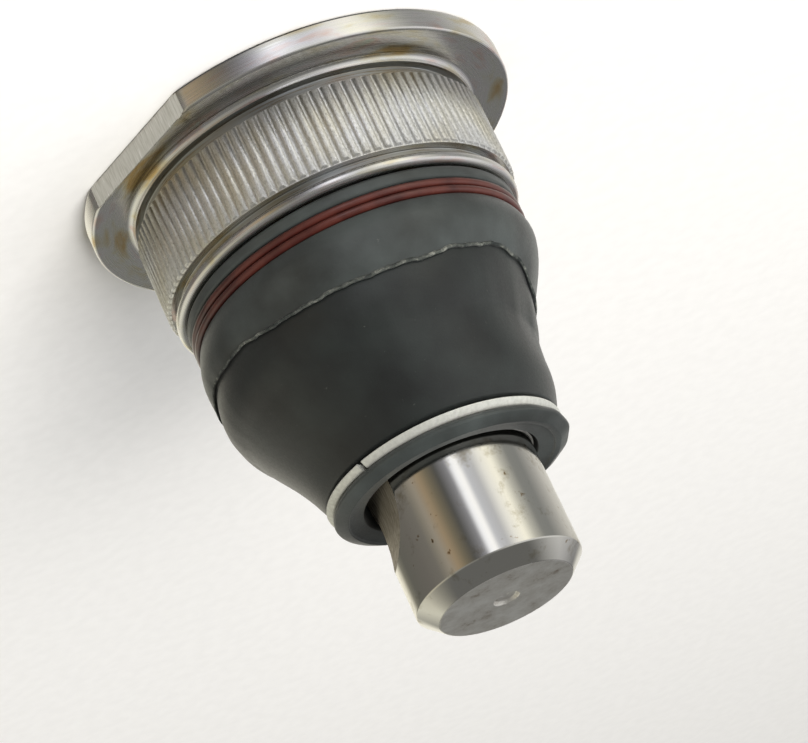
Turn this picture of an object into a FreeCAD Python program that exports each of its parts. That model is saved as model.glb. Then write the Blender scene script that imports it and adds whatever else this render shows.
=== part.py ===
import FreeCAD, Part
import math
import os

import Sketcher

# Suspension ball joint with a press-in housing, stud upwards, in millimetres.
# The origin is the centre of the ball and +Z runs along the housing towards the end of the stud.
# Heights are measured up from the ball centre, depths down from it.

SIZES = {
    # ball and pin; the pin's heights hang on the top of the boot
    "ball_radius": 12.0,
    "ball_flat_radius": 3.2,
    "neck_inset": 1.7,
    "neck_fillet": 0.8,
    "pin_radius": 9.0,
    "seal_land_step": 0.3,
    "seal_land_length": 11.1,
    "pin_free_length": 13.35,
    "pin_chamfer_length": 1.75,
    "pin_chamfer_inset": 1.8,
    "pinch_groove_from_end": 13.45,
    "pinch_groove_radius": 14.0,
    "pinch_groove_depth": 1.65,
    "centre_mark_radius": 1.4,
    "centre_mark_depth": 0.7,
    # seats round the ball
    "seat_gap": 0.05,
    "seat_wall": 2.9,
    "seat_floor": 0.15,
    "seat_split_gap": 0.1,
    "seat_top_gap": 0.45,
    "seat_hole_radius": 3.0,
    "seat_slot_width": 1.2,
    "seat_slot_depth": 3.6,
    "seat_slots": 6,
    # spring and cover
    "fit_gap": 0.03,
    "spring_height": 0.96,
    "spring_thickness": 0.55,
    "spring_inner_radius": 7.0,
    "spring_side_gap": 0.8,
    "cover_thickness": 1.2,
    "cover_dish_radius": 10.5,
    "cover_dish_depth": 0.6,
    "cover_bend_width": 1.2,
    # housing, inside
    "bore_cone_height": 0.8,
    "bore_cone_inset": 2.25,
    "mouth_step": 0.75,
    "mouth_flare": 0.5,
    "mouth_lip_length": 0.75,
    "cover_pocket_step": 1.4,
    "crimp_lip_thickness": 0.7,
    "crimp_lip_reach": 1.8,
    "crimp_lip_width": 1.2,
    "crimp_groove_width": 1.3,
    "crimp_groove_depth": 0.45,
    # housing, outside
    "housing_wall": 4.5,
    "flange_width": 4.45,
    "flange_thickness": 2.6,
    "flange_edge_chamfer": 0.35,
    "flange_flat_inset": 1.65,
    "flange_flat_angle": -32.3,
    "flange_fillet": 1.4,
    "shoulder_length": 2.15,
    "knurl_top_depth": 1.6,
    "knurl_lead": 0.3,
    "knurl_tooth_depth": 0.4,
    "knurl_groove_width": 0.7,
    "knurl_teeth": 104,
    "relief_depth": 0.55,
    "relief_length": 0.6,
    "collar_step": 0.4,
    "collar_length": 1.5,
    "collar_round": 0.45,
    "boot_groove_depth": 2.2,
    "boot_groove_length": 4.5,
    "boot_hook_step": 0.5,
    "boot_hook_length": 1.0,
    # boot
    "boot_fit_gap": 0.1,
    "boot_neck_wall": 0.55,
    "boot_bead_step": 0.85,
    "boot_bead_length": 1.45,
    "boot_bead_round": 0.45,
    "boot_dome_step": 0.55,
    "boot_dome_round": 4.9,
    "boot_fold_inset": 0.1,
    "boot_fold_rise": 3.3,
    "boot_fold_step": 0.75,
    "boot_fold_tuck": 0.15,
    "boot_wall": 1.7,
    "boot_cone_length": 15.05,
    "boot_cone_end_step": 1.7,
    "boot_cone_round": 52.0,
    "boot_seal_gap": 0.25,
    "boot_seal_wall": 1.45,
    "boot_seal_length": 4.6,
    "boot_seal_slope": 0.35,
    "boot_lip_length": 1.5,
    "boot_lip_width": 1.75,
    "boot_lip_round": 0.75,
    "boot_lip_inset": 0.35,
    "boot_lip_face_inset": 1.45,
    "boot_lip_recess": 0.35,
    # rings on the boot
    "wire_width": 0.86,
    "wire_thickness": 0.9,
    "wire_turn_gap": 0.04,
    "wire_side_gap": 0.04,
    "wire_seat_gap": 0.05,
    "wire_corner": 0.2,
    "wire_jog_angle": 105.0,
    "wire_jog_span": 24.0,
    "split_ring_step": 0.45,
    "split_ring_width": 0.8,
    "split_ring_thickness": 1.9,
    "split_ring_slope": 0.6,
    "split_ring_gap": 0.6,
    "split_ring_gap_angle": -38.5,
    # how far a cutting outline runs past what it cuts
    "cutter_overrun": 0.5,
}


class Size:
    """A length with the spreadsheet formula that gives it."""

    def __init__(self, value, formula):
        self.value = value
        self.formula = formula

    def join(self, other, sign, value):
        return Size(value, "(%s %s %s)" % (self.formula, sign, as_size(other).formula))

    def __add__(self, other):
        return self.join(other, "+", self.value + as_size(other).value)

    def __sub__(self, other):
        return self.join(other, "-", self.value - as_size(other).value)

    def __mul__(self, other):
        return self.join(other, "*", self.value * as_size(other).value)

    def __truediv__(self, other):
        return self.join(other, "/", self.value / as_size(other).value)

    def __neg__(self):
        return Size(-self.value, "(0 - %s)" % self.formula)


def as_size(number):
    return number if isinstance(number, Size) else Size(number, repr(number))


def root(area):
    return Size(math.sqrt(area.value), "sqrt(%s)" % area.formula)


def ball_reach(radius, offset):
    """Half the width of a ball of this radius at this distance from its centre."""
    return root(radius * radius - offset * offset)


doc = FreeCAD.newDocument("ball_joint")
sheet = doc.addObject("Spreadsheet::Sheet", "Dims")
for row, (alias, number) in enumerate(SIZES.items(), start=1):
    sheet.set("A%d" % row, alias)
    sheet.set("B%d" % row, str(number))
    sheet.setAlias("B%d" % row, alias)
doc.recompute()


def size(alias):
    return Size(SIZES[alias], "Dims." + alias)


ZERO = as_size(0)
EDGE_MATCH = 1e-4


def origin_plane(body, role):
    return next(item for item in body.Origin.OriginFeatures if item.Role == role)


def new_body(name):
    body = doc.addObject("PartDesign::Body", name)
    body.Label = name
    return body


def new_sketch(body, name, role):
    sketch = body.newObject("Sketcher::SketchObject", name)
    sketch.AttachmentSupport = [(origin_plane(body, role), "")]
    sketch.MapMode = "FlatFace"
    return sketch


def bound(sketch, constraint, formula):
    """Adds a constraint whose size follows the sheet."""
    index = sketch.addConstraint(constraint)
    sketch.setExpression("Constraints[%d]" % index, formula)


def arc_between(start, end, radius):
    """The short arc between two points, bulging to the right of the way from start to end."""
    chord = end - start
    side = FreeCAD.Vector(chord.y, -chord.x, 0).normalize()
    rise = math.sqrt(radius * radius - chord.Length * chord.Length / 4)
    return Part.Arc(start, (start + end) / 2 + side * (radius - rise), end)


def place_point(sketch, edge, end, corner):
    """Ties one end of an edge to its corner's distances from the origin."""
    kinds = (("DistanceX", corner[0], -2), ("DistanceY", corner[1], -1))
    for kind, distance, axis in kinds:
        if distance is ZERO:
            sketch.addConstraint(Sketcher.Constraint("PointOnObject", edge, end, axis))
        else:
            rule = Sketcher.Constraint(kind, -1, 1, edge, end, distance.value)
            bound(sketch, rule, distance.formula)


def draw_outline(sketch, corners, bulges=None, hollows=None):
    """Draws a closed outline through the corners.

    The edge that leaves corner N is an arc where bulges or hollows gives it a radius:
    a bulge lies to the right of the way round, a hollow to the left.
    """
    bulges = bulges or {}
    hollows = hollows or {}
    points = [FreeCAD.Vector(x.value, y.value, 0) for x, y in corners]
    ends = []
    for number, start in enumerate(points):
        finish = points[(number + 1) % len(points)]
        ends.append((2, 1) if number in hollows else (1, 2))
        if number in bulges:
            sketch.addGeometry(arc_between(start, finish, bulges[number].value), False)
        elif number in hollows:
            sketch.addGeometry(arc_between(finish, start, hollows[number].value), False)
        else:
            sketch.addGeometry(Part.LineSegment(start, finish), False)
    for number in range(len(points)):
        after = (number + 1) % len(points)
        meeting = (number, ends[number][1], after, ends[after][0])
        sketch.addConstraint(Sketcher.Constraint("Coincident", *meeting))
    for number, corner in enumerate(corners):
        place_point(sketch, number, ends[number][0], corner)
    for number, radius in {**bulges, **hollows}.items():
        bound(sketch, Sketcher.Constraint("Radius", number, radius.value), radius.formula)


def turned(body, name, corners, bulges=None, hollows=None, cut=False):
    """A turned solid, or a turned cut, from half of its section: x is the radius, y the height."""
    sketch = new_sketch(body, name + "_section", "XZ_Plane")
    draw_outline(sketch, corners, bulges, hollows)
    kind = "PartDesign::Groove" if cut else "PartDesign::Revolution"
    feature = body.newObject(kind, name)
    feature.Profile = sketch
    feature.ReferenceAxis = (sketch, ["V_Axis"])
    feature.Angle = 360
    doc.recompute()
    return feature


def cut_down(body, name, corners, top, depth, angle=None):
    """A pocket with an outline in plan, from a height downwards."""
    sketch = new_sketch(body, name + "_plan", "XY_Plane")
    draw_outline(sketch, corners)
    sketch.setExpression("AttachmentOffset.Base.z", top.formula)
    if angle:
        sketch.setExpression("AttachmentOffset.Rotation.Angle", angle.formula)
    pocket = body.newObject("PartDesign::Pocket", name)
    pocket.Profile = sketch
    pocket.setExpression("Length", depth.formula)
    doc.recompute()
    return pocket


def around(body, name, feature, count):
    """Repeats a feature round the body's own axis."""
    pattern = body.newObject("PartDesign::PolarPattern", name)
    pattern.Originals = [feature]
    pattern.Axis = (feature.Profile[0], ["N_Axis"])
    pattern.Angle = 360
    pattern.setExpression("Occurrences", count.formula)
    body.Tip = pattern
    doc.recompute()
    return pattern


def soften(body, kind, name, rings, amount):
    """A fillet or chamfer on the circular edges at these radii and heights."""
    base = body.Tip
    names = []
    for number, edge in enumerate(base.Shape.Edges, start=1):
        if edge.Curve.TypeId != "Part::GeomCircle":
            continue
        centre = edge.Curve.Center
        for radius, height in rings:
            miss = abs(edge.Curve.Radius - radius.value) + abs(centre.z - height.value)
            if miss + math.hypot(centre.x, centre.y) < EDGE_MATCH:
                names.append("Edge%d" % number)
    feature = body.newObject(kind, name)
    feature.Base = (base, names)
    reach = "Radius" if kind == "PartDesign::Fillet" else "Size"
    feature.setExpression(reach, amount.formula)
    doc.recompute()
    return feature


nodes = []
overrun = size("cutter_overrun")
fit = size("fit_gap")
boot_gap = size("boot_fit_gap")

# Radii, from the ball outwards to the flange

ball = size("ball_radius")
seat_ball = ball + size("seat_gap")
seat_outside = seat_ball + size("seat_wall")
bore = seat_outside + size("seat_gap")
bore_end = bore - size("bore_cone_inset")
mouth = bore_end - size("mouth_step")
knurl = bore + size("housing_wall")
shoulder = knurl - size("knurl_tooth_depth")
flange = shoulder + size("flange_width")
collar = knurl - size("collar_step")
relief = collar - size("relief_depth")
boot_groove = collar - size("boot_groove_depth")
hook = boot_groove + size("boot_hook_step")

# Radii, from the pin outwards to the split ring

pin = size("pin_radius")
land = pin + size("seal_land_step")
neck = land - size("neck_inset")
seal = land + size("boot_seal_gap")
ring_seat = seal + size("boot_seal_wall")
ring_inside = ring_seat + boot_gap
ring_outside = ring_inside + size("split_ring_thickness")
lip = ring_seat + size("boot_lip_width")
cone_end = ring_seat + size("boot_cone_end_step")

# Heights, from the ball down to the base

seat_bottom = -(seat_ball + size("seat_floor"))
spring_top = seat_bottom - fit
spring_foot = spring_top - size("spring_height")
cover_top = spring_foot - fit
cover_bottom = cover_top - size("cover_thickness")
crimp_top = cover_bottom - fit
base = crimp_top - size("crimp_lip_thickness")
flange_top = base + size("flange_thickness")
knurl_bottom = flange_top + size("shoulder_length")

# Heights, from the ball up to the end of the pin

knurl_top = -size("knurl_top_depth")
relief_top = knurl_top + size("relief_length")
collar_top = relief_top + size("collar_length")
hook_bottom = collar_top + size("boot_groove_length")
hook_top = hook_bottom + size("boot_hook_length")
lip_bottom = hook_top - size("mouth_lip_length")
seat_top = lip_bottom - size("seat_top_gap")
fold_height = hook_top + size("boot_fold_rise")
cone_top = fold_height + size("boot_cone_length")
ring_bottom = cone_top + size("split_ring_step")
ring_top = ring_bottom + size("split_ring_width")
lip_top = ring_top + size("boot_lip_length")
pin_end = lip_top + size("pin_free_length")

# Ball stud: ball, waisted neck, land for the boot's seal, and pin with its pinch-bolt groove

stud = new_body("ball_stud")
nodes.append(stud)
ball_bottom = -ball_reach(ball, size("ball_flat_radius"))
neck_height = ball_reach(ball, neck)
turned(stud, "turned_stud", [
    (ZERO, ball_bottom),
    (size("ball_flat_radius"), ball_bottom),
    (neck, neck_height),
    (land, lip_top - size("seal_land_length")),
    (land, lip_top),
    (pin, lip_top),
    (pin, pin_end - size("pin_chamfer_length")),
    (pin - size("pin_chamfer_inset"), pin_end),
    (ZERO, pin_end),
], bulges={1: ball})
soften(stud, "PartDesign::Fillet", "neck_fillet", [(neck, neck_height)], size("neck_fillet"))
turned(stud, "centre_mark", [
    (ZERO, pin_end - size("centre_mark_depth")),
    (size("centre_mark_radius"), pin_end),
    (ZERO, pin_end),
], cut=True)

# The groove for the pinch bolt runs square across the pin, on its +X side.
groove_sketch = new_sketch(stud, "pinch_groove_section", "XZ_Plane")
groove_radius = size("pinch_groove_radius")
groove_centre = pin - size("pinch_groove_depth") + groove_radius
groove_height = pin_end - size("pinch_groove_from_end")
circle = Part.Circle(FreeCAD.Vector(groove_centre.value, groove_height.value, 0),
                     FreeCAD.Vector(0, 0, 1), groove_radius.value)
groove_sketch.addGeometry(circle, False)
place_point(groove_sketch, 0, 3, (groove_centre, groove_height))
bound(groove_sketch, Sketcher.Constraint("Radius", 0, groove_radius.value), groove_radius.formula)
pinch_groove = stud.newObject("PartDesign::Pocket", "pinch_groove")
pinch_groove.Profile = groove_sketch
pinch_groove.Midplane = True
pinch_groove.setExpression("Length", ((land + overrun) * 2).formula)
doc.recompute()

# Housing: flange with one flat, knurled press seat, collar, boot groove and the seat for the ball

housing = new_body("housing")
nodes.append(housing)
pocket = bore + size("cover_pocket_step")
pocket_top = cover_top + fit
crimp_lip = pocket - size("crimp_lip_reach")
turned(housing, "turned_housing", [
    (crimp_lip, base),
    (flange, base),
    (flange, flange_top),
    (shoulder, flange_top),
    (shoulder, knurl_bottom),
    (knurl, knurl_bottom),
    (knurl, knurl_top),
    (relief, knurl_top),
    (relief, relief_top),
    (collar, relief_top),
    (collar, collar_top),
    (boot_groove, collar_top),
    (boot_groove, hook_bottom),
    (hook, hook_bottom),
    (hook, hook_top),
    (mouth + size("mouth_flare"), hook_top),
    (mouth, hook_top - size("mouth_flare")),
    (mouth, lip_bottom),
    (bore_end, lip_bottom),
    (bore, size("bore_cone_height")),
    (bore, pocket_top),
    (pocket, pocket_top),
    (pocket, crimp_top),
    (crimp_lip, crimp_top),
])
flange_edges = [(flange, base), (flange, flange_top)]
soften(housing, "PartDesign::Chamfer", "flange_chamfer", flange_edges, size("flange_edge_chamfer"))
lead_edge = [(knurl, knurl_top)]
soften(housing, "PartDesign::Chamfer", "knurl_lead_in", lead_edge, size("knurl_lead"))
soften(housing, "PartDesign::Fillet", "flange_root", [(shoulder, flange_top)], size("flange_fillet"))
collar_edges = [(collar, relief_top), (collar, collar_top)]
soften(housing, "PartDesign::Fillet", "collar_bead", collar_edges, size("collar_round"))

# The rolled edge that holds the cover is set off from the flange by a V-shaped groove.
crimp_groove = pocket + size("crimp_lip_width")
crimp_half = size("crimp_groove_width") / 2
crimp_depth = size("crimp_groove_depth")
turned(housing, "crimp_groove", [
    (crimp_groove - crimp_half, base),
    (crimp_groove + crimp_half, base),
    (crimp_groove, base + crimp_depth),
], cut=True)

flat = flange - size("flange_flat_inset")
cut_down(housing, "flange_flat", [
    (flat, -flange),
    (flange + overrun, -flange),
    (flange + overrun, flange),
    (flat, flange),
], flange_top, size("flange_thickness"), size("flange_flat_angle"))

tooth_half = size("knurl_groove_width") / 2
tooth_outside = knurl + overrun
tooth_slope = tooth_half / size("knurl_tooth_depth")
tooth_mouth = (tooth_outside - knurl + size("knurl_tooth_depth")) * tooth_slope
tooth = cut_down(housing, "knurl_tooth_gap", [
    (shoulder, ZERO),
    (tooth_outside, -tooth_mouth),
    (tooth_outside, tooth_mouth),
], knurl_top, knurl_top - knurl_bottom)
around(housing, "knurl", tooth, size("knurl_teeth"))

# Ball seats: a cup below the ball, and a slotted shell between the ball and the mouth

split = -size("seat_split_gap")
hole = size("seat_hole_radius")

lower_seat = new_body("lower_ball_seat")
nodes.append(lower_seat)
turned(lower_seat, "turned_cup", [
    (hole, seat_bottom),
    (seat_outside, seat_bottom),
    (seat_outside, split),
    (ball_reach(seat_ball, split), split),
    (hole, -ball_reach(seat_ball, hole)),
], hollows={3: seat_ball})

upper_seat = new_body("upper_ball_seat")
nodes.append(upper_seat)
cone_slope = size("bore_cone_inset") / (lip_bottom - size("bore_cone_height"))
seat_top_outside = seat_outside - (seat_top - size("bore_cone_height")) * cone_slope
turned(upper_seat, "turned_shell", [
    (seat_ball, ZERO),
    (seat_outside, ZERO),
    (seat_outside, size("bore_cone_height")),
    (seat_top_outside, seat_top),
    (ball_reach(seat_ball, seat_top), seat_top),
], hollows={4: seat_ball})
slot_half = size("seat_slot_width") / 2
slot_start = ball_reach(seat_ball, seat_top) - overrun
slot = cut_down(upper_seat, "slot", [
    (slot_start, -slot_half),
    (bore + overrun, -slot_half),
    (bore + overrun, slot_half),
    (slot_start, slot_half),
], seat_top, size("seat_slot_depth"))
around(upper_seat, "slots", slot, size("seat_slots"))

# Disc spring between the lower seat and the rim of the cover

spring_outside = bore - size("spring_side_gap")
spring_wall = size("spring_thickness")
spring = new_body("preload_spring")
nodes.append(spring)
turned(spring, "turned_disc", [
    (spring_outside, spring_foot),
    (spring_outside, spring_foot + spring_wall),
    (size("spring_inner_radius"), spring_top),
    (size("spring_inner_radius"), spring_top - spring_wall),
])

# End cover: a pressed plate with its middle dished outwards, held by the rolled edge

cover = new_body("end_cover")
nodes.append(cover)
cover_edge = pocket - fit
dish = size("cover_dish_radius")
bend = size("cover_bend_width")
dish_depth = size("cover_dish_depth")
turned(cover, "pressed_plate", [
    (ZERO, cover_bottom - dish_depth),
    (dish, cover_bottom - dish_depth),
    (dish + bend, cover_bottom),
    (cover_edge, cover_bottom),
    (cover_edge, cover_top),
    (dish + bend, cover_top),
    (dish, cover_top - dish_depth),
    (ZERO, cover_top - dish_depth),
])

# Dust boot: bead in the housing's groove, seat for the wire ring, dome that folds over the cone,
# and a thick lip round the pin with a groove for the split ring

boot = new_body("dust_boot")
nodes.append(boot)
wire_seat = boot_groove + boot_gap + size("boot_neck_wall")
bead = wire_seat + size("boot_bead_step")
bead_bottom = collar_top + boot_gap
bead_top = bead_bottom + size("boot_bead_length")
wire_width = size("wire_width")
wire_side = size("wire_side_gap")
wire_bottom = bead_top + wire_side
wire_second = wire_bottom + wire_width + size("wire_turn_gap")
wire_top = wire_second + wire_width
dome_foot = wire_top + wire_side
dome = wire_seat + size("boot_dome_step")
fold = dome - size("boot_fold_inset")
cone_start = fold - size("boot_fold_step")
wall = size("boot_wall")
seal_bottom = lip_top - size("boot_seal_length")
hook_clear = hook + boot_gap
turned(boot, "moulded_boot", [
    (boot_groove + boot_gap, bead_bottom),
    (bead, bead_bottom),
    (bead, bead_top),
    (wire_seat, bead_top),
    (wire_seat, dome_foot),
    (dome, dome_foot),
    (fold, fold_height),
    (cone_start, fold_height - size("boot_fold_tuck")),
    (cone_end, cone_top),
    (ring_seat, ring_bottom - boot_gap),
    (ring_seat, ring_top + boot_gap),
    (lip - size("boot_lip_inset"), ring_top + boot_gap),
    (lip, lip_top - size("boot_lip_round")),
    (lip - size("boot_lip_face_inset"), lip_top),
    (seal, lip_top - size("boot_lip_recess")),
    (seal, seal_bottom),
    (cone_end - wall, seal_bottom - size("boot_seal_slope")),
    (cone_start - wall, fold_height),
    (hook_clear, hook_top + boot_gap),
    (hook_clear, hook_bottom - boot_gap),
    (boot_groove + boot_gap, hook_bottom - boot_gap),
], bulges={5: size("boot_dome_round"), 7: size("boot_cone_round")},
    hollows={16: size("boot_cone_round")})
bead_edges = [(bead, bead_bottom), (bead, bead_top)]
soften(boot, "PartDesign::Fillet", "bead_round", bead_edges, size("boot_bead_round"))

# Split ring on the boot's lip, open by a narrow gap

split_ring = new_body("boot_split_ring")
nodes.append(split_ring)
turned(split_ring, "turned_ring", [
    (ring_inside, ring_bottom),
    (ring_outside, ring_bottom),
    (ring_outside - size("split_ring_slope"), ring_top),
    (ring_inside, ring_top),
])
gap_half = size("split_ring_gap") / 2
cut_down(split_ring, "ring_gap", [
    (ring_inside - overrun, -gap_half),
    (ring_outside + overrun, -gap_half),
    (ring_outside + overrun, gap_half),
    (ring_inside - overrun, gap_half),
], ring_top, size("split_ring_width"), size("split_ring_gap_angle"))

# Wire ring on the boot's neck: two flat turns, joined by a jog where one turn steps over to the other

wire_inside = wire_seat + size("wire_seat_gap")
jog_span = SIZES["wire_jog_span"]


def wire_section(height, angle):
    """The wire's section with its outer corners taken off, standing at an angle round the axis."""
    inside = wire_inside.value
    outside = inside + SIZES["wire_thickness"]
    top = height + SIZES["wire_width"]
    corner = SIZES["wire_corner"]
    outline = [
        (inside, height),
        (outside - corner, height),
        (outside, height + corner),
        (outside, top - corner),
        (outside - corner, top),
        (inside, top),
        (inside, height),
    ]
    section = Part.makePolygon([FreeCAD.Vector(radius, 0, rise) for radius, rise in outline])
    section.rotate(FreeCAD.Vector(0, 0, 0), FreeCAD.Vector(0, 0, 1), angle)
    return section


def flat_turn(height):
    section = Part.Face(wire_section(height, jog_span / 2))
    return section.revolve(FreeCAD.Vector(0, 0, 0), FreeCAD.Vector(0, 0, 1), 360 - jog_span)


JOG_STEPS = 6
jog_rise = (wire_second - wire_bottom).value
jog_sections = []
for step in range(JOG_STEPS + 1):
    share = step / JOG_STEPS
    ease = share * share * (3 - 2 * share)
    angle = jog_span * (share - 0.5)
    jog_sections.append(wire_section(wire_bottom.value + jog_rise * ease, angle))
jog = Part.makeLoft(jog_sections, True, True)
wire_ring = doc.addObject("Part::Feature", "boot_wire_ring")
wire_ring.Label = "boot_wire_ring"
wire_ring.Shape = flat_turn(wire_bottom.value).fuse([jog, flat_turn(wire_second.value)])
turn = FreeCAD.Rotation(FreeCAD.Vector(0, 0, 1), SIZES["wire_jog_angle"])
wire_ring.Placement = FreeCAD.Placement(FreeCAD.Vector(0, 0, 0), turn)
nodes.append(wire_ring)

# Checks and export

doc.recompute()
for item in doc.Objects:
    if "Invalid" in item.State or "Error" in item.State:
        raise RuntimeError("%s did not recompute: %s" % (item.Name, item.State))
for body in nodes:
    before = None
    for feature in getattr(body, "Group", []):
        volume = feature.Shape.Volume if hasattr(feature, "AddSubShape") else None
        if volume and before and "Pocket" in feature.TypeId and volume >= before:
            raise RuntimeError("%s cuts nothing" % feature.Name)
        before = volume or before
    shape = body.Shape
    if shape.isNull() or not shape.isValid() or len(shape.Solids) != 1:
        raise RuntimeError("%s is not one valid solid" % body.Label)

os.makedirs("parts", exist_ok=True)
for body in nodes:
    body.Shape.exportStep("parts/%s.step" % body.Label)
    print("%-18s %9.1f mm3" % (body.Label, body.Shape.Volume))
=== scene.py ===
import math

import bmesh
import bpy
from mathutils import Matrix, Vector


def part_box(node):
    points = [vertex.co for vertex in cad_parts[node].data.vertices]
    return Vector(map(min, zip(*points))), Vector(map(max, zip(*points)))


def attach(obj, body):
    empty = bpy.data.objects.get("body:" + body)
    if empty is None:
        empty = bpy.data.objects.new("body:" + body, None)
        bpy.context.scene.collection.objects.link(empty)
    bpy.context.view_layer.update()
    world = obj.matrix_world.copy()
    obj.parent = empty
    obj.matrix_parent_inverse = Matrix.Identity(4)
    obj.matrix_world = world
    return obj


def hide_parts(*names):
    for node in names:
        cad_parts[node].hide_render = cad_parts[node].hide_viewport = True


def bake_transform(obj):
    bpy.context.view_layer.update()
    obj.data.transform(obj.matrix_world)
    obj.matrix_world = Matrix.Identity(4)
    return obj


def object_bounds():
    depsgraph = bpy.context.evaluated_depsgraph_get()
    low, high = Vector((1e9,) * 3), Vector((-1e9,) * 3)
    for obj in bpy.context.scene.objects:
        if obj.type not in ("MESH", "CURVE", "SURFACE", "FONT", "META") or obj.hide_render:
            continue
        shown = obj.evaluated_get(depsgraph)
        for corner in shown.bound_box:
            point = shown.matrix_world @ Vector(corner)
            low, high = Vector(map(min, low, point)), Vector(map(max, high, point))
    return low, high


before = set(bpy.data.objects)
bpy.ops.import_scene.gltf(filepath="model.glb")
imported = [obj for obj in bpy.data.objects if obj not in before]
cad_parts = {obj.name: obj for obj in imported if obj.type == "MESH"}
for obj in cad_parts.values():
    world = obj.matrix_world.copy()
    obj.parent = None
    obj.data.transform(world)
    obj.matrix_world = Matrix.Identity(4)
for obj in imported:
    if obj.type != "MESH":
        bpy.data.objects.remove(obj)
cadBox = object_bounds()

# Suspension ball joint, stud upwards, with the centre of the ball at the origin.
# The dictionaries are in millimetres and degrees; an outline's corner is (radius, height, rounding).
mm = 0.001
near = 1e-6     # metres, closer than this is the same place
slack = 0.05    # millimetres, a face that lies this close to its named place is picked


# Making the shapes

def deselectAll():
    if bpy.context.object and bpy.context.object.mode != "OBJECT":
        bpy.ops.object.mode_set(mode="OBJECT")
    bpy.ops.object.select_all(action="DESELECT")


def workOn(piece):
    deselectAll()
    piece.select_set(True)
    bpy.context.view_layer.objects.active = piece


def pickVertices(piece, wanted):
    # in edit mode, selects the vertices whose (radius, height, angle) passes the test
    bpy.ops.mesh.select_mode(type="VERT")
    bpy.ops.mesh.select_all(action="DESELECT")
    mesh = bmesh.from_edit_mesh(piece.data)
    for vertex in mesh.verts:
        x, y, z = vertex.co / mm
        vertex.select = wanted(math.hypot(x, y), z, math.degrees(math.atan2(y, x)))
    mesh.select_flush_mode()
    bmesh.update_edit_mesh(piece.data)


def pickFaces(piece, wanted):
    # in edit mode, selects the faces whose middle (radius, height, angle) and normal pass the test
    bpy.ops.mesh.select_mode(type="FACE")
    bpy.ops.mesh.select_all(action="DESELECT")
    mesh = bmesh.from_edit_mesh(piece.data)
    for face in mesh.faces:
        x, y, z = face.calc_center_median() / mm
        face.select = wanted(math.hypot(x, y), z, math.degrees(math.atan2(y, x)), face.normal)
    mesh.select_flush_mode()
    bmesh.update_edit_mesh(piece.data)


def finishFaces(piece, slot, wanted):
    # in edit mode, gives the faces that pass the test the piece's material of that number
    pickFaces(piece, wanted)
    piece.active_material_index = slot
    bpy.ops.object.material_slot_assign()


def reshape(piece, moved):
    # in edit mode, moves each vertex to the radius and height that moved gives for its own place
    mesh = bmesh.from_edit_mesh(piece.data)
    for vertex in mesh.verts:
        x, y, z = vertex.co / mm
        radius = math.hypot(x, y)
        newRadius, newHeight = moved(radius, z, math.degrees(math.atan2(y, x)))
        vertex.co = Vector((x * newRadius / radius, y * newRadius / radius, newHeight)) * mm
    bmesh.update_edit_mesh(piece.data)


def turnMesh(piece, degrees):
    # turns the mesh itself about the part's axis, and leaves the piece in object mode
    deselectAll()
    piece.data.transform(Matrix.Rotation(math.radians(degrees), 4, "Z"))


def arcCorners(middle, radius, fromDegrees, toDegrees, count):
    # points along an arc of an outline, both ends included
    corners = []
    for number in range(count + 1):
        angle = math.radians(fromDegrees + (toDegrees - fromDegrees) * number / count)
        corners.append((middle[0] + radius * math.cos(angle), middle[1] + radius * math.sin(angle)))
    return corners


def bowCorners(start, end, rise, count):
    # points between two corners of an outline, bowed out sideways from the straight line by rise
    across, along = end[0] - start[0], end[1] - start[1]
    length = math.hypot(across, along)
    corners = []
    for number in range(1, count):
        share = number / count
        bow = 4 * rise * share * (1 - share)
        corners.append((start[0] + across * share + bow * along / length,
                        start[1] + along * share - bow * across / length))
    return corners


def drawOutline(name, corners, roundSteps=5):
    # one vertex, extruded from corner to corner in the XZ plane, then the corners are bevelled
    deselectAll()
    bpy.ops.mesh.primitive_plane_add(size=mm, location=(corners[0][0] * mm, 0, corners[0][1] * mm))
    piece = bpy.context.object
    piece.name = piece.data.name = name
    bpy.ops.object.transform_apply(location=True, rotation=True, scale=True)
    bpy.ops.object.mode_set(mode="EDIT")
    bpy.ops.mesh.select_mode(type="VERT")
    bpy.ops.mesh.select_all(action="SELECT")
    bpy.ops.mesh.merge(type="CENTER")
    for before, after in zip(corners, corners[1:]):
        step = ((after[0] - before[0]) * mm, 0, (after[1] - before[1]) * mm)
        bpy.ops.mesh.extrude_vertices_move(TRANSFORM_OT_translate={"value": step})
    for corner in corners:
        if len(corner) > 2:
            pickVertices(piece, lambda radius, height, angle:
                         math.hypot(radius - corner[0], height - corner[1]) < slack / 5)
            bpy.ops.mesh.bevel(offset=corner[2] * mm, segments=roundSteps, affect="VERTICES")
    bpy.ops.mesh.select_all(action="SELECT")
    bpy.ops.mesh.remove_doubles(threshold=near)
    return piece


def closeSkin():
    bpy.ops.mesh.select_all(action="SELECT")
    bpy.ops.mesh.remove_doubles(threshold=near)
    bpy.ops.mesh.normals_make_consistent(inside=False)


def spinOutline(steps, degrees=360):
    bpy.ops.mesh.select_all(action="SELECT")
    bpy.ops.mesh.spin(steps=steps, angle=math.radians(degrees), center=(0, 0, 0), axis=(0, 0, 1))
    closeSkin()


def smoothPiece(piece, degrees=32):
    workOn(piece)
    bpy.ops.object.shade_smooth_by_angle(angle=math.radians(degrees))


def putOn(piece, *materials):
    piece.data.materials.clear()
    for material in materials:
        piece.data.materials.append(material)


# Making the finishes

def fromHex(text):
    # sRGB hex to linear colour
    channels = [int(text[place:place + 2], 16) / 255 for place in (1, 3, 5)]
    linear = [c / 12.92 if c <= 0.04045 else ((c + 0.055) / 1.055) ** 2.4 for c in channels]
    return (*linear, 1.0)


def perMetre(size):
    # the texture scale that makes a feature this many millimetres wide
    return 1 / (size * mm)


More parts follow.
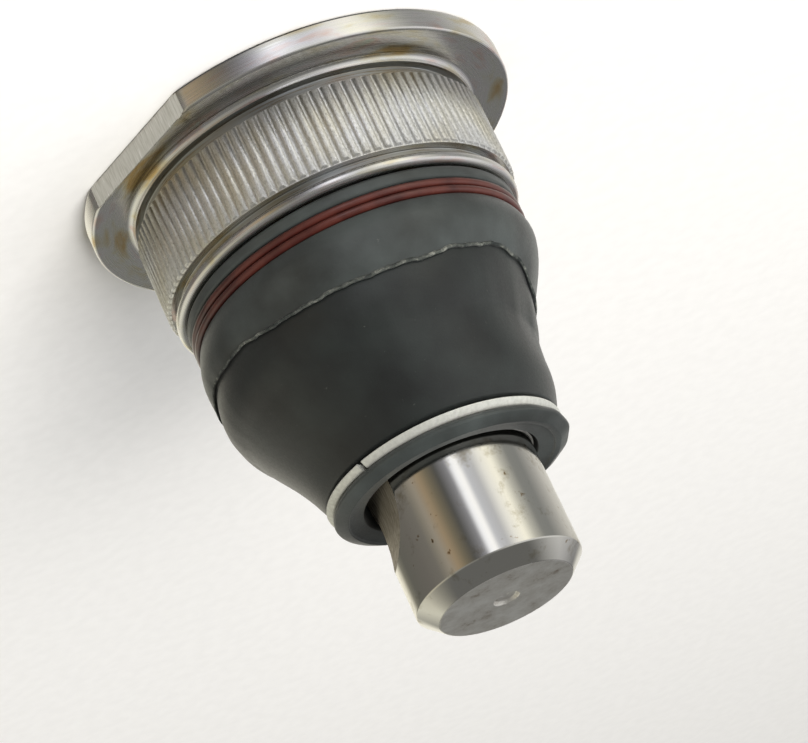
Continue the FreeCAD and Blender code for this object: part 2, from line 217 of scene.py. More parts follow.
def fillRamp(ramp, stops):
    while len(ramp.elements) < len(stops):
        ramp.elements.new(1.0)
    for element, (position, colour) in zip(ramp.elements, stops):
        element.position = position
        element.color = fromHex(colour)


def addNode(tree, kind, settings=None, links=None):
    # settings are the node's own properties, the values of its inputs or a ramp's stops
    node = tree.nodes.new(kind)
    for name, value in (settings or {}).items():
        if name == "stops":
            fillRamp(node.color_ramp, value)
        elif isinstance(name, str) and hasattr(node, name):
            setattr(node, name, value)
        else:
            node.inputs[name].default_value = value
    for name, source in (links or {}).items():
        tree.links.new(source, node.inputs[name])
    return node


def newMaterial(name, shaderValues):
    material = bpy.data.materials.new(name)
    material.use_nodes = True
    tree = material.node_tree
    shader = tree.nodes["Principled BSDF"]
    for socket, value in shaderValues.items():
        shader.inputs[socket].default_value = value
    place = addNode(tree, "ShaderNodeTexCoord").outputs["Object"]
    return material, tree, shader, place


def feedShader(tree, shader, sources):
    for socket, source in sources.items():
        tree.links.new(source, shader.inputs[socket])


def lathePlace(tree, place, reach, spacing):
    # coordinates for lathe marks: they run round the axis, spacing mm apart along the profile
    flat = addNode(tree, "ShaderNodeVectorMath", {"operation": "MULTIPLY", 1: (1, 1, 0)}, {0: place})
    radius = addNode(tree, "ShaderNodeVectorMath", {"operation": "LENGTH"}, {0: flat.outputs[0]})
    outward = addNode(tree, "ShaderNodeVectorMath", {"operation": "NORMALIZE"}, {0: flat.outputs[0]})
    height = addNode(tree, "ShaderNodeSeparateXYZ", {}, {0: place})
    profile = addNode(tree, "ShaderNodeMath", {"operation": "SUBTRACT"},
                      {0: height.outputs["Z"], 1: radius.outputs["Value"]})
    upright = addNode(tree, "ShaderNodeCombineXYZ", {}, {"Z": profile.outputs[0]})
    both = addNode(tree, "ShaderNodeVectorMath", {"operation": "ADD"},
                   {0: outward.outputs[0], 1: upright.outputs[0]})
    marks = addNode(tree, "ShaderNodeMapping", {"Scale": (reach, reach, perMetre(spacing))},
                    {"Vector": both.outputs[0]})
    return marks.outputs[0]


def turnedZinc():
    # turned steel, bright zinc with a thin passivation: satin lathe rings, grey with gold, pink and green
    material, tree, shader, place = newMaterial("turnedZincPassivated", {"Metallic": 1.0})
    marks = lathePlace(tree, place, 2.0, 0.13)
    rings = addNode(tree, "ShaderNodeTexNoise", {"Scale": 1.0, "Detail": 4.0}, {"Vector": marks})
    films = lathePlace(tree, place, 3.0, 2.2)
    film = addNode(tree, "ShaderNodeTexNoise", {"Scale": 1.0, "Detail": 3.0, "Distortion": 0.4},
                   {"Vector": films})
    tint = addNode(tree, "ShaderNodeValToRGB", {"stops": (
        (0.30, "#c4a978"), (0.38, "#d2cab4"), (0.46, "#d8d7d2"), (0.58, "#dad7d8"),
        (0.66, "#d8c5bf"), (0.74, "#c8d0c8"),
    )}, {"Fac": film.outputs["Fac"]})
    dull = addNode(tree, "ShaderNodeMapRange", {
        "From Min": 0.3, "From Max": 0.7, "To Min": 0.19, "To Max": 0.33,
    }, {"Value": rings.outputs["Fac"]})
    cut = addNode(tree, "ShaderNodeBump", {"Distance": 0.004 * mm}, {"Height": rings.outputs["Fac"]})
    feedShader(tree, shader, {
        "Base Color": tint.outputs[0], "Roughness": dull.outputs[0], "Normal": cut.outputs[0],
    })
    return material


def recessZincPaintedShade():
    # the recesses above and below the teeth: the satin zinc painted darker, blue-grey to brown, as painted
    # shade in the recesses
    material, tree, shader, place = newMaterial("recessZincPaintedShade", {"Metallic": 1.0})
    marks = lathePlace(tree, place, 3.0, 0.3)
    rings = addNode(tree, "ShaderNodeTexNoise", {"Scale": 1.0, "Detail": 4.0}, {"Vector": marks})
    colour = addNode(tree, "ShaderNodeValToRGB", {"stops": (
        (0.35, "#9c9385"), (0.5, "#aaaaa7"), (0.65, "#b6babc"),
    )}, {"Fac": rings.outputs["Fac"]})
    dull = addNode(tree, "ShaderNodeMapRange", {
        "From Min": 0.3, "From Max": 0.7, "To Min": 0.24, "To Max": 0.36,
    }, {"Value": rings.outputs["Fac"]})
    feedShader(tree, shader, {"Base Color": colour.outputs[0], "Roughness": dull.outputs[0]})
    return material


def milledZinc():
    # milled flat under the same zinc: dull grey with fine upright cutter marks and a few bright scratches
    material, tree, shader, place = newMaterial("milledZincPassivated", {"Metallic": 0.4})
    upright = addNode(tree, "ShaderNodeMapping", {
        "Rotation": (0.0, 0.25, 0.0), "Scale": (perMetre(0.18), perMetre(0.18), perMetre(1.8)),
    }, {"Vector": place})
    marks = addNode(tree, "ShaderNodeTexNoise", {"Scale": 1.0, "Detail": 5.0},
                    {"Vector": upright.outputs[0]})
    scratched = addNode(tree, "ShaderNodeValToRGB", {"stops": (
        (0.30, "#c3c2b9"), (0.55, "#dad9d2"), (0.66, "#dfded8"), (0.71, "#fbfaf6"),
    )}, {"Fac": marks.outputs["Fac"]})
    dull = addNode(tree, "ShaderNodeMapRange", {
        "From Min": 0.3, "From Max": 0.7, "To Min": 0.46, "To Max": 0.3,
    }, {"Value": marks.outputs["Fac"]})
    cut = addNode(tree, "ShaderNodeBump", {"Distance": 0.006 * mm}, {"Height": marks.outputs["Fac"]})
    feedShader(tree, shader, {
        "Base Color": scratched.outputs[0], "Roughness": dull.outputs[0], "Normal": cut.outputs[0],
    })
    return material


def knurledZinc():
    # rolled teeth under the same zinc: sandy matte grey, drawn slightly coarser than real grit to show
    material, tree, shader, place = newMaterial("knurledZinc", {"Metallic": 0.92})
    stretched = addNode(tree, "ShaderNodeMapping", {
        "Scale": (perMetre(0.16), perMetre(0.16), perMetre(0.3)),
    }, {"Vector": place})
    sand = addNode(tree, "ShaderNodeTexNoise", {"Scale": 1.0, "Detail": 6.0, "Roughness": 0.7},
                   {"Vector": stretched.outputs[0]})
    clouds = addNode(tree, "ShaderNodeTexNoise", {"Scale": perMetre(5.0), "Detail": 3.0}, {"Vector": place})
    speckled = addNode(tree, "ShaderNodeValToRGB", {"stops": (
        (0.28, "#8a8880"), (0.40, "#cfcec8"), (0.58, "#eae9e5"), (0.7, "#ffffff"),
    )}, {"Fac": sand.outputs["Fac"]})
    warm = addNode(tree, "ShaderNodeValToRGB", {"stops": ((0.35, "#f4f1e9"), (0.6, "#fafbff"))},
                   {"Fac": clouds.outputs["Fac"]})
    tinted = addNode(tree, "ShaderNodeMix", {"data_type": "RGBA", "blend_type": "MULTIPLY", 0: 1.0},
                     {6: speckled.outputs[0], 7: warm.outputs[0]})
    dull = addNode(tree, "ShaderNodeMapRange", {
        "From Min": 0.3, "From Max": 0.7, "To Min": 0.42, "To Max": 0.24,
    }, {"Value": sand.outputs["Fac"]})
    grit = addNode(tree, "ShaderNodeBump", {"Distance": 0.045 * mm}, {"Height": sand.outputs["Fac"]})
    feedShader(tree, shader, {
        "Base Color": tinted.outputs[2], "Roughness": dull.outputs[0], "Normal": grit.outputs[0],
    })
    return material


def groundSteel():
    # ground and polished pin: mirror streaks a little softened by rings, a few rust-brown specks
    material, tree, shader, place = newMaterial("groundPolishedSteel", {"Metallic": 1.0})
    marks = lathePlace(tree, place, 1.5, 0.11)
    rings = addNode(tree, "ShaderNodeTexNoise", {"Scale": 1.0, "Detail": 3.0}, {"Vector": marks})
    specks = addNode(tree, "ShaderNodeTexNoise", {"Scale": perMetre(1.1), "Detail": 4.0, "Roughness": 0.6},
                     {"Vector": place})
    clouds = addNode(tree, "ShaderNodeTexNoise", {"Scale": perMetre(2.6), "Detail": 5.0, "Roughness": 0.65},
                     {"Vector": place})
    rust = addNode(tree, "ShaderNodeValToRGB", {"stops": (
        (0.67, "#cccac5"), (0.73, "#8f7c62"), (0.78, "#3c3128"),
    )}, {"Fac": specks.outputs["Fac"]})
    handled = addNode(tree, "ShaderNodeValToRGB", {"stops": ((0.3, "#cfcabd"), (0.44, "#fafafa"))},
                      {"Fac": clouds.outputs["Fac"]})
    stained = addNode(tree, "ShaderNodeMix", {"data_type": "RGBA", "blend_type": "MULTIPLY", 0: 1.0},
                      {6: rust.outputs[0], 7: handled.outputs[0]})
    dull = addNode(tree, "ShaderNodeMapRange", {
        "From Min": 0.3, "From Max": 0.5, "To Min": 0.2, "To Max": 0.11,
    }, {"Value": clouds.outputs["Fac"]})
    cut = addNode(tree, "ShaderNodeBump", {"Distance": 0.0012 * mm}, {"Height": rings.outputs["Fac"]})
    feedShader(tree, shader, {
        "Base Color": stained.outputs[2], "Roughness": dull.outputs[0], "Normal": cut.outputs[0],
    })
    return material


def milledSteel():
    # the pinch groove's floor as the cutter left it: brownish grey, streaked along the cutter's path
    material, tree, shader, place = newMaterial("milledSteel", {"Metallic": 1.0})
    path = addNode(tree, "ShaderNodeMapping", {
        "Scale": (perMetre(0.2), perMetre(0.2), perMetre(3.0)),
    }, {"Vector": place})
    streaks = addNode(tree, "ShaderNodeTexNoise", {"Scale": 1.0, "Detail": 5.0, "Roughness": 0.65},
                      {"Vector": path.outputs[0]})
    colour = addNode(tree, "ShaderNodeValToRGB", {"stops": (
        (0.32, "#8d8172"), (0.5, "#bbb3a6"), (0.68, "#dedad2"),
    )}, {"Fac": streaks.outputs["Fac"]})
    cut = addNode(tree, "ShaderNodeBump", {"Distance": 0.012 * mm}, {"Height": streaks.outputs["Fac"]})
    dull = addNode(tree, "ShaderNodeMapRange", {
        "From Min": 0.3, "From Max": 0.7, "To Min": 0.72, "To Max": 0.56,
    }, {"Value": streaks.outputs["Fac"]})
    feedShader(tree, shader, {
        "Base Color": colour.outputs[0], "Roughness": dull.outputs[0], "Normal": cut.outputs[0],
    })
    return material


def facedSteel():
    # faced end of the pin: flat cloudy grey, dull, with rusty pits
    material, tree, shader, place = newMaterial("facedSteel", {"Metallic": 0.93})
    clouds = addNode(tree, "ShaderNodeTexNoise", {"Scale": perMetre(2.2), "Detail": 6.0, "Roughness": 0.7},
                     {"Vector": place})
    marks = lathePlace(tree, place, 3.0, 0.2)
    rings = addNode(tree, "ShaderNodeTexNoise", {"Scale": 1.0, "Detail": 3.0}, {"Vector": marks})
    colour = addNode(tree, "ShaderNodeValToRGB", {"stops": (
        (0.28, "#95887a"), (0.4, "#cdcac5"), (0.65, "#e6e5e2"),
    )}, {"Fac": clouds.outputs["Fac"]})
    dull = addNode(tree, "ShaderNodeMapRange", {
        "From Min": 0.3, "From Max": 0.7, "To Min": 0.5, "To Max": 0.36,
    }, {"Value": clouds.outputs["Fac"]})
    cut = addNode(tree, "ShaderNodeBump", {"Distance": 0.006 * mm}, {"Height": rings.outputs["Fac"]})
    feedShader(tree, shader, {
        "Base Color": colour.outputs[0], "Roughness": dull.outputs[0], "Normal": cut.outputs[0],
    })
    return material


def mouldedRubber(name, dark, light):
    # moulded chloroprene: satin black with a green-grey bloom and pale dusty scuffs
    material, tree, shader, place = newMaterial(name, {
        "Specular IOR Level": 0.45, "Sheen Weight": 0.1, "Sheen Roughness": 0.4,
    })
    bloom = addNode(tree, "ShaderNodeTexNoise", {"Scale": perMetre(6.0), "Detail": 4.0}, {"Vector": place})
    skin = addNode(tree, "ShaderNodeTexNoise", {"Scale": perMetre(0.25), "Detail": 5.0, "Roughness": 0.65},
                   {"Vector": place})
    dust = addNode(tree, "ShaderNodeTexNoise", {"Scale": perMetre(0.9), "Detail": 6.0, "Roughness": 0.75},
                   {"Vector": place})
    base = addNode(tree, "ShaderNodeValToRGB", {"stops": ((0.35, dark), (0.65, light))},
                   {"Fac": bloom.outputs["Fac"]})
    dusty = addNode(tree, "ShaderNodeMapRange", {
        "From Min": 0.66, "From Max": 0.8, "To Min": 0.0, "To Max": 0.5,
    }, {"Value": dust.outputs["Fac"]})
    scuffed = addNode(tree, "ShaderNodeMix", {"data_type": "RGBA", 7: fromHex("#6f716b")},
                      {0: dusty.outputs[0], 6: base.outputs[0]})
    dull = addNode(tree, "ShaderNodeMapRange", {
        "From Min": 0.35, "From Max": 0.65, "To Min": 0.36, "To Max": 0.48,
    }, {"Value": skin.outputs["Fac"]})
    pores = addNode(tree, "ShaderNodeBump", {"Distance": 0.01 * mm}, {"Height": skin.outputs["Fac"]})
    feedShader(tree, shader, {
        "Base Color": scuffed.outputs[2], "Roughness": dull.outputs[0], "Normal": pores.outputs[0],
    })
    return material


def tornRubber():
    # torn mould flash on the fold: a rough pale grey edge
    material, tree, shader, place = newMaterial("tornRubberFlash", {"Roughness": 0.85})
    torn = addNode(tree, "ShaderNodeTexNoise", {"Scale": perMetre(2.5), "Detail": 8.0, "Roughness": 0.8},
                   {"Vector": place})
    colour = addNode(tree, "ShaderNodeValToRGB", {"stops": (
        (0.42, "#262a29"), (0.52, "#474a46"), (0.66, "#94958c"),
    )}, {"Fac": torn.outputs["Fac"]})
    ragged = addNode(tree, "ShaderNodeBump", {"Distance": 0.1 * mm}, {"Height": torn.outputs["Fac"]})
    feedShader(tree, shader, {"Base Color": colour.outputs[0], "Normal": ragged.outputs[0]})
    return material


def lacqueredWire():
    # copper-red lacquered spring wire: dark red-brown with a soft gloss line
    material, tree, shader, place = newMaterial("lacqueredRedWire", {"Metallic": 0.2, "Coat Weight": 0.3})
    patches = addNode(tree, "ShaderNodeTexNoise", {"Scale": perMetre(3.0), "Detail": 4.0},
                      {"Vector": place})
    colour = addNode(tree, "ShaderNodeValToRGB", {"stops": ((0.35, "#3a1815"), (0.6, "#51261f"))},
                     {"Fac": patches.outputs["Fac"]})
    dull = addNode(tree, "ShaderNodeMapRange", {
        "From Min": 0.35, "From Max": 0.65, "To Min": 0.34, "To Max": 0.46,
    }, {"Value": patches.outputs["Fac"]})
    feedShader(tree, shader, {"Base Color": colour.outputs[0], "Roughness": dull.outputs[0]})
    return material


def dullBand():
    # tumbled galvanised spring band: light, dull, almost even grey
    material, tree, shader, place = newMaterial("tumbledGalvanisedBand", {"Metallic": 0.6})
    pits = addNode(tree, "ShaderNodeTexNoise", {"Scale": perMetre(0.35), "Detail": 5.0}, {"Vector": place})
    colour = addNode(tree, "ShaderNodeValToRGB", {"stops": ((0.35, "#cbccc6"), (0.65, "#d6d7d1"))},
                     {"Fac": pits.outputs["Fac"]})
    dull = addNode(tree, "ShaderNodeMapRange", {
        "From Min": 0.35, "From Max": 0.65, "To Min": 0.6, "To Max": 0.44,
    }, {"Value": pits.outputs["Fac"]})
    dents = addNode(tree, "ShaderNodeBump", {"Distance": 0.002 * mm}, {"Height": pits.outputs["Fac"]})
    feedShader(tree, shader, {
        "Base Color": colour.outputs[0], "Roughness": dull.outputs[0], "Normal": dents.outputs[0],
    })
    return material


def pressedZinc():
    # pressed zinc-plated cover plate: satin grey, drawn marks round the dish
    material, tree, shader, place = newMaterial("pressedZincPlate", {"Metallic": 1.0})
    marks = lathePlace(tree, place, 4.0, 0.5)
    drawn = addNode(tree, "ShaderNodeTexNoise", {"Scale": 1.0, "Detail": 5.0}, {"Vector": marks})
    colour = addNode(tree, "ShaderNodeValToRGB", {"stops": ((0.35, "#a5a49c"), (0.65, "#c8c7c1"))},
                     {"Fac": drawn.outputs["Fac"]})
    dull = addNode(tree, "ShaderNodeMapRange", {
        "From Min": 0.35, "From Max": 0.65, "To Min": 0.3, "To Max": 0.42,
    }, {"Value": drawn.outputs["Fac"]})
    ripples = addNode(tree, "ShaderNodeBump", {"Distance": 0.008 * mm}, {"Height": drawn.outputs["Fac"]})
    feedShader(tree, shader, {
        "Base Color": colour.outputs[0], "Roughness": dull.outputs[0], "Normal": ripples.outputs[0],
    })
    return material


def mouldedAcetal():
    # moulded acetal: milky off-white with faint flow marks
    material, tree, shader, place = newMaterial("mouldedAcetal", {"Roughness": 0.35})
    flow = addNode(tree, "ShaderNodeTexNoise", {"Scale": perMetre(3.0), "Detail": 3.0}, {"Vector": place})
    colour = addNode(tree, "ShaderNodeValToRGB", {"stops": ((0.35, "#dcdbd2"), (0.65, "#eeede7"))},
                     {"Fac": flow.outputs["Fac"]})
    feedShader(tree, shader, {"Base Color": colour.outputs[0]})
    return material


def temperedSpring():
    # oil-tempered spring steel: blue-black scale
    material, tree, shader, place = newMaterial("temperedSpringSteel", {"Metallic": 1.0, "Roughness": 0.4})
    scale = addNode(tree, "ShaderNodeTexNoise", {"Scale": perMetre(1.5), "Detail": 5.0}, {"Vector": place})
    colour = addNode(tree, "ShaderNodeValToRGB", {"stops": ((0.35, "#3a3f47"), (0.65, "#5b6066"))},
                     {"Fac": scale.outputs["Fac"]})
    feedShader(tree, shader, {"Base Color": colour.outputs[0]})
    return material


zincTurned = turnedZinc()
zincMilled = milledZinc()
# the darker recess zinc is painted shade for the undercut and relief
zincRecessPaintedShade = recessZincPaintedShade()
zincKnurled = knurledZinc()
steelGround = groundSteel()
steelMilled = milledSteel()
steelFaced = facedSteel()
# the boot's rubber in two copies: the cone's darker, painted shade, and the lighter one for dome and lip,
# partly bloom and partly painted sheen
rubberConePaintedShade = mouldedRubber("mouldedRubber", "#171919", "#202423")
rubberBloomAndPaintedSheen = mouldedRubber("mouldedRubberBloomAndPaintedSheen", "#272a29", "#3a3f3e")
rubberTorn = tornRubber()
wireLacquered = lacqueredWire()
bandDull = dullBand()
zincPressed = pressedZinc()
acetalMoulded = mouldedAcetal()
springTempered = temperedSpring()
print("finishes made")


# The housing: flange with one flat, knurled press seat, collar, boot groove, bore for the seats

housingSizes = {
    "base": -15.15, "flange": 23.55, "flangeTop": -12.55, "flangeEdge": 0.35, "edge": 0.1,
    "shoulder": 19.1, "rootRound": 0.75,
    # the undercut at the flange's root starts and ends this far from the round and from the teeth
    "undercut": 18.3, "undercutFoot": 0.12, "undercutTop": 0.15, "undercutEdge": 0.08,
    "relief": 18.15, "reliefTop": -0.8, "reliefEdge": 0.12,
    "collar": 19.1, "collarTop": 0.5, "collarRound": 0.62,
    "bootSeat": 16.9, "hook": 17.4, "hookFoot": 5.0, "hookTop": 6.0, "hookEdge": 0.15,
    "mouth": 12.0, "mouthFlare": 0.5,
    "boreEnd": 12.75, "boreEndHeight": 5.25, "bore": 15.0, "boreTop": 0.8,
    "pocket": 16.4, "pocketTop": -13.19, "crimpTop": -14.45, "crimpLip": 14.6,
    "crimpMark": 17.6, "crimpMarkWidth": 1.3, "crimpMarkDepth": 0.45,
    "flatDistance": 21.9, "flatAngle": -32.3, "flatLength": 16.4, "flatEdge": 0.12, "flatEase": 0.14,
}
knurlSizes = {
    "teeth": 104, "foot": -10.4, "top": -1.6, "radius": 19.5, "columns": 4, "valley": 0.1,
    # each lift of a tooth: share of its height, then what is left of its width and length
    "lifts": ((0.55, 0.84, 0.99), (0.3, 0.72, 0.98), (0.15, 0.5, 0.98)),
}


def housingOutline():
    s, k = housingSizes, knurlSizes
    root = (s["shoulder"] + s["rootRound"], s["flangeTop"] + s["rootRound"])
    markHalf = s["crimpMarkWidth"] / 2
    return [
        (s["crimpLip"], s["base"]),
        (s["crimpMark"] - markHalf, s["base"], s["edge"]),
        (s["crimpMark"], s["base"] + s["crimpMarkDepth"], s["edge"]),
        (s["crimpMark"] + markHalf, s["base"], s["edge"]),
        (s["flange"], s["base"], s["flangeEdge"]), (s["flange"], s["flangeTop"], s["flangeEdge"]),
        *arcCorners(root, s["rootRound"], 270, 180, 8),
        (s["undercut"], root[1] + s["undercutFoot"], s["undercutEdge"]),
        (s["undercut"], k["foot"] - s["undercutTop"], s["undercutEdge"]),
        (s["shoulder"], k["foot"]), (s["shoulder"], k["top"]),
        (s["relief"], k["top"], s["reliefEdge"]), (s["relief"], s["reliefTop"], s["reliefEdge"]),
        (s["collar"], s["reliefTop"], s["collarRound"]), (s["collar"], s["collarTop"], s["collarRound"]),
        (s["bootSeat"], s["collarTop"], s["edge"]), (s["bootSeat"], s["hookFoot"], s["edge"]),
        (s["hook"], s["hookFoot"], s["hookEdge"]), (s["hook"], s["hookTop"], s["hookEdge"]),
        (s["mouth"] + s["mouthFlare"], s["hookTop"]), (s["mouth"], s["hookTop"] - s["mouthFlare"]),
        (s["mouth"], s["boreEndHeight"]), (s["boreEnd"], s["boreEndHeight"]),
        (s["bore"], s["boreTop"]), (s["bore"], s["pocketTop"]), (s["pocket"], s["pocketTop"]),
        (s["pocket"], s["crimpTop"]), (s["crimpLip"], s["crimpTop"]), (s["crimpLip"], s["base"]),
    ]


def raiseTooth(piece):
    # the wall between two neighbouring valleys, lifted in steps so that the crown comes out round
    s, k = housingSizes, knurlSizes
    middle = (k["foot"] + k["top"]) / 2
    pickFaces(piece, lambda radius, height, angle, normal:
              abs(radius - s["shoulder"]) < slack and abs(height - middle) < 1)
    bpy.ops.mesh.inset(thickness=k["valley"] * mm, depth=0)
    rise = k["radius"] - s["shoulder"]
    for share, width, length in k["lifts"]:
        bpy.ops.mesh.extrude_region_move(TRANSFORM_OT_translate={"value": (rise * share * mm, 0, 0)})
        bpy.ops.transform.resize(value=(1, width, length), center_override=(0, 0, middle * mm))


def cutFlat(piece):
    # with the flat's side turned to +X, what stands past it is pressed back onto its plane,
    # and its two ends are eased into the round
    s = housingSizes
    turnMesh(piece, -s["flatAngle"])
    bpy.ops.object.mode_set(mode="EDIT")
    ease = s["flatEase"]
    mesh = bmesh.from_edit_mesh(piece.data)
    for vertex in mesh.verts:
        past = vertex.co.x / mm - s["flatDistance"]
        if past > -ease:
            eased = min(past, ease)
            vertex.co.x -= ((eased + ease) ** 2 / (4 * ease) + past - eased) * mm
    bmesh.update_edit_mesh(piece.data)
    # its two long edges are eased
    pickVertices(piece, lambda radius, height, angle:
                 abs(radius * math.cos(math.radians(angle)) - s["flatDistance"]) < near / mm
                 and abs(radius * math.sin(math.radians(angle))) < s["flatLength"] / 2
                 and min(abs(height - s["base"]), abs(height - s["flangeTop"])) < near / mm)
    bpy.ops.mesh.select_mode(type="EDGE")
    bpy.ops.mesh.bevel(offset=s["flatEdge"] * mm, segments=3, affect="EDGES")
    turnMesh(piece, s["flatAngle"])
    bpy.ops.object.mode_set(mode="EDIT")


def makeHousing():
    s, k = housingSizes, knurlSizes
    piece = drawOutline("housingTurned", housingOutline(), 6)
    pitch = 360 / k["teeth"]
    # one tooth's share of the housing, with the tooth in its middle on the X axis
    spinOutline(k["columns"], pitch)
    turnMesh(piece, pitch / 2)
    bpy.ops.object.mode_set(mode="EDIT")
    raiseTooth(piece)
    bpy.ops.mesh.select_all(action="SELECT")
    bpy.ops.mesh.spin(dupli=True, steps=k["teeth"] - 1, angle=math.radians(360 - pitch),
                      center=(0, 0, 0), axis=(0, 0, 1))
    closeSkin()
    cutFlat(piece)
    putOn(piece, zincTurned, zincKnurled, zincMilled, zincRecessPaintedShade)
    finishFaces(piece, 1, lambda radius, height, angle, normal:
                radius > s["shoulder"] - slack and k["foot"] < height < k["top"])
    flatWay = math.radians(s["flatAngle"])
    outward = Vector((math.cos(flatWay), math.sin(flatWay), 0))
    finishFaces(piece, 2, lambda radius, height, angle, normal:
                radius > s["flatDistance"] - slack and normal.dot(outward) > 0.9999)
    rootTop = s["flangeTop"] + s["rootRound"]
    # the recesses above and below the teeth take the darker zinc, painted shade
    finishFaces(piece, 3, lambda radius, height, angle, normal:
                s["bootSeat"] < radius < s["shoulder"] - slack
                and (rootTop < height < k["foot"] or k["top"] < height < s["reliefTop"]))
    smoothPiece(piece, 20)
    # the teeth are smooth all round
    bpy.ops.object.mode_set(mode="EDIT")
    pickFaces(piece, lambda radius, height, angle, normal:
              radius > s["shoulder"] + slack and k["foot"] < height < k["top"])
    bpy.ops.mesh.select_mode(type="EDGE")
    bpy.ops.mesh.mark_sharp(clear=True)
    bpy.ops.object.mode_set(mode="OBJECT")
    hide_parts("housing")
    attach(piece, "housing")


makeHousing()
print("housing turned, knurled and milled")


# The end cover: a pressed plate, dished outwards in its middle

coverSizes = {
    "rim": 16.37, "inside": -13.22, "thick": 1.2, "dish": 10.5, "dishFoot": 11.7, "dishDepth": 0.6,
    "dishRound": 0.5, "footRound": 0.4, "rimRound": 0.1, "steps": 144,
}


def makeCover():
    s = coverSizes
    outside = s["inside"] - s["thick"]
    piece = drawOutline("endCoverPressed", [
        (0, outside - s["dishDepth"]), (s["dish"], outside - s["dishDepth"], s["dishRound"]),
        (s["dishFoot"], outside, s["footRound"]), (s["rim"], outside, s["rimRound"]),
        (s["rim"], s["inside"], s["rimRound"]), (s["dishFoot"], s["inside"], s["footRound"]),
        (s["dish"], s["inside"] - s["dishDepth"], s["dishRound"]), (0, s["inside"] - s["dishDepth"]),
    ])
    spinOutline(s["steps"])
    putOn(piece, zincPressed)
    smoothPiece(piece)
    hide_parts("end_cover")
    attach(piece, "housing")


makeCover()
print("cover pressed")


# The ball stud: ball, waisted neck, seal land and pin with its pinch groove

studSizes = {
    "ball": 12.0, "ballFlat": 3.2, "neck": 7.6, "neckRound": 0.6,
    "land": 9.3, "landFoot": 16.0, "landRound": 0.5, "landTop": 26.2, "landEdge": 0.1,
    "pin": 9.0, "pinFoot": 0.05, "pinEnd": 40.45, "chamferIn": 1.8, "chamferDown": 1.75,
    "chamferFoot": 0.14, "chamferEdge": 0.15,
    "mark": 1.4, "markTaper": 0.15, "markWall": 0.45, "markTip": 0.5, "markDepth": 0.9, "markEdge": 0.1,
    "groove": 14.0, "grooveDepth": 1.65, "grooveHeight": 27.0, "grooveLength": 24.0,
    # a face this far past the groove's floor, or turned this much aside, is no longer its own
    "grooveReach": 0.2, "grooveTurn": 0.02,
    "steps": 256,
}


def makeStud():
    s = studSizes
    flatDegrees = -math.degrees(math.acos(s["ballFlat"] / s["ball"]))
    neckDegrees = math.degrees(math.acos(s["neck"] / s["ball"]))
    ballArc = arcCorners((0, 0), s["ball"], flatDegrees, neckDegrees, 40)
    piece = drawOutline("studForged", [
        (0, ballArc[0][1]), *ballArc[:-1], (*ballArc[-1], s["neckRound"]),
        (s["land"], s["landFoot"], s["landRound"]), (s["land"], s["landTop"], s["landEdge"]),
        (s["pin"], s["landTop"], s["pinFoot"]),
        (s["pin"], s["pinEnd"] - s["chamferDown"], s["chamferFoot"]),
        (s["pin"] - s["chamferIn"], s["pinEnd"], s["chamferEdge"]),
        (s["mark"], s["pinEnd"], s["markEdge"]),
        (s["mark"] - s["markTaper"], s["pinEnd"] - s["markWall"], s["markEdge"]),
        (s["markTip"], s["pinEnd"] - s["markWall"] - s["markEdge"]), (0, s["pinEnd"] - s["markDepth"]),
    ])
    spinOutline(s["steps"])
    deselectAll()
    # the pinch bolt's groove, cut square across the pin
    middle = s["pin"] - s["grooveDepth"] + s["groove"]
    bpy.ops.mesh.primitive_cylinder_add(vertices=s["steps"], radius=s["groove"] * mm,
                                        depth=s["grooveLength"] * mm, rotation=(math.pi / 2, 0, 0),
                                        location=(middle * mm, 0, s["grooveHeight"] * mm))
    cutter = bpy.context.object
    cut = piece.modifiers.new("pinchGroove", "BOOLEAN")
    cut.object = cutter
    cut.solver = "EXACT"
    workOn(piece)
    bpy.ops.object.modifier_apply(modifier=cut.name)
    bpy.data.objects.remove(cutter)
    putOn(piece, steelGround, steelMilled, steelFaced)
    bpy.ops.object.mode_set(mode="EDIT")
    finishFaces(piece, 1, lambda radius, height, angle, normal:
                abs(height - s["grooveHeight"]) < s["groove"] / 2 and normal.x > 0.5
                and radius * math.cos(math.radians(angle)) < s["pin"] - slack / 5
                and abs(normal.y) < s["grooveTurn"]
                and radius > s["pin"] - s["grooveDepth"] - s["grooveReach"])
    finishFaces(piece, 2, lambda radius, height, angle, normal:
                height > s["pinEnd"] - s["markDepth"] and radius < s["pin"] - s["chamferIn"])
    smoothPiece(piece, 20)
    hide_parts("ball_stud")
    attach(piece, "ball_stud")


makeStud()
print("stud turned and grooved")


# The dust boot: bead, wire seat, dome, torn fold, cone, ring seat and lip

